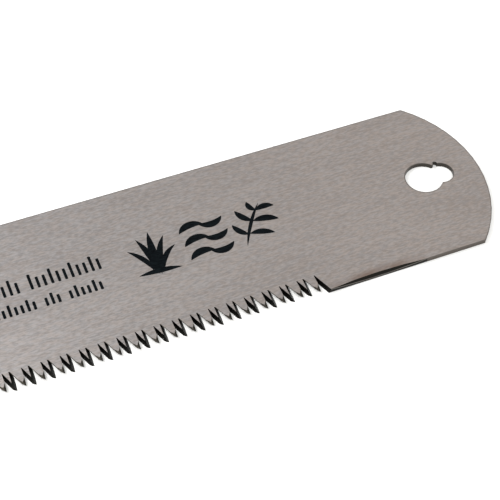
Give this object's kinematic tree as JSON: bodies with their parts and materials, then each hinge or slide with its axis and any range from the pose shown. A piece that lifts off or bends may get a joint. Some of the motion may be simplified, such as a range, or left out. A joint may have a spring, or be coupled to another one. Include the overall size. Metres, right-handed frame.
{
  "type": "replacement saw blade",
  "caption": "Flat steel replacement saw blade with fine bevelled crosscut teeth, rounded plain ends and a keyhole at each end for a frame's tension pin.",
  "frame": {"origin": "middle of the resting face, under the centre of the blade", "axes": "+X along the blade towards the end that the teeth point at, +Y towards the back edge, +Z out of the printed face"},
  "size_m": [0.4, 0.0368, 0.001],
  "materials": {
    "blade_steel": "fine brushed grain along the blade",
    "print_ink": "thin black printed ink"
  },
  "bodies": {
    "root": {"blade": "blade_steel", "brush_mark_tuft": "print_ink", "brush_mark_waves": "print_ink", "brush_mark_sprig": "print_ink", "print_row_upper": "print_ink", "print_row_lower": "print_ink"}
  },
  "joints": []
}
